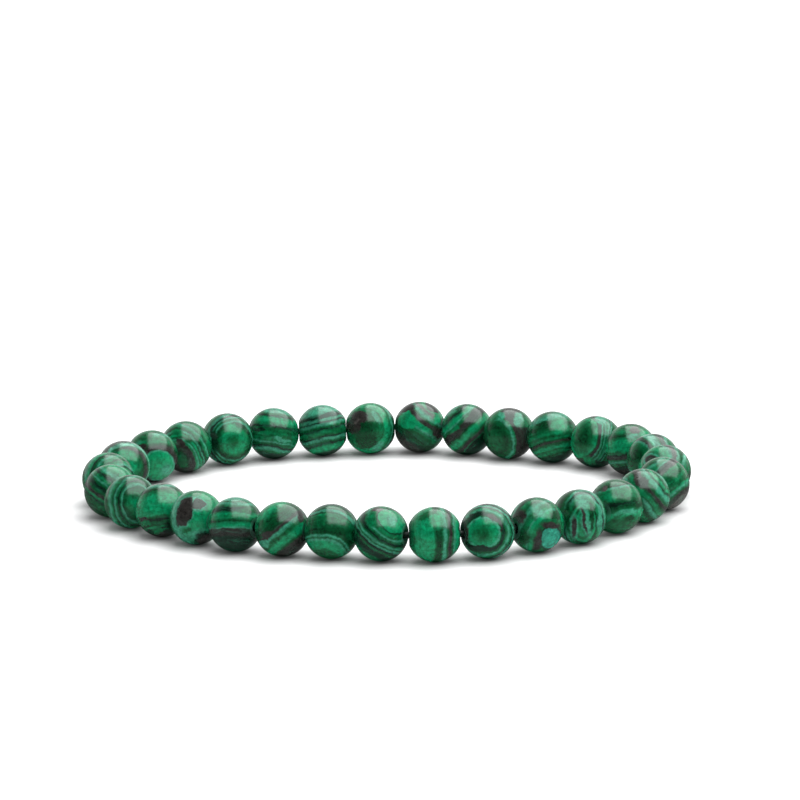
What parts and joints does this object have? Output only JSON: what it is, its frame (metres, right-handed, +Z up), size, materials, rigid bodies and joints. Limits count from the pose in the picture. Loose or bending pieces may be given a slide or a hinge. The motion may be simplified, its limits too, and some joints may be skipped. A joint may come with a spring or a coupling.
{
  "type": "beaded stretch bracelet",
  "caption": "Round polished green banded stone beads strung touching on a closed loop of elastic cord, laid flat in an uneven oval.",
  "frame": {"origin": "middle of the ground that the loop covers, on the surface that the beads rest on", "axes": "+X along the oval's longer side, -Y the near side in the picture, +Z up, square to the loop"},
  "size_m": [0.069, 0.0578, 0.006],
  "materials": {
    "stone": "polished",
    "cord": "satin"
  },
  "bodies": {
    "root": {"bead_01": "stone", "bead_02": "stone", "bead_03": "stone", "bead_04": "stone", "bead_05": "stone", "bead_06": "stone", "bead_07": "stone", "bead_08": "stone", "bead_09": "stone", "bead_10": "stone", "bead_11": "stone", "bead_12": "stone", "bead_13": "stone", "bead_14": "stone", "bead_15": "stone", "bead_16": "stone", "bead_17": "stone", "bead_18": "stone", "bead_19": "stone", "bead_20": "stone", "bead_21": "stone", "bead_22": "stone", "bead_23": "stone", "bead_24": "stone", "bead_25": "stone", "bead_26": "stone", "bead_27": "stone", "bead_28": "stone", "bead_29": "stone", "bead_30": "stone", "bead_31": "stone", "elastic_cord": "cord"}
  },
  "joints": []
}
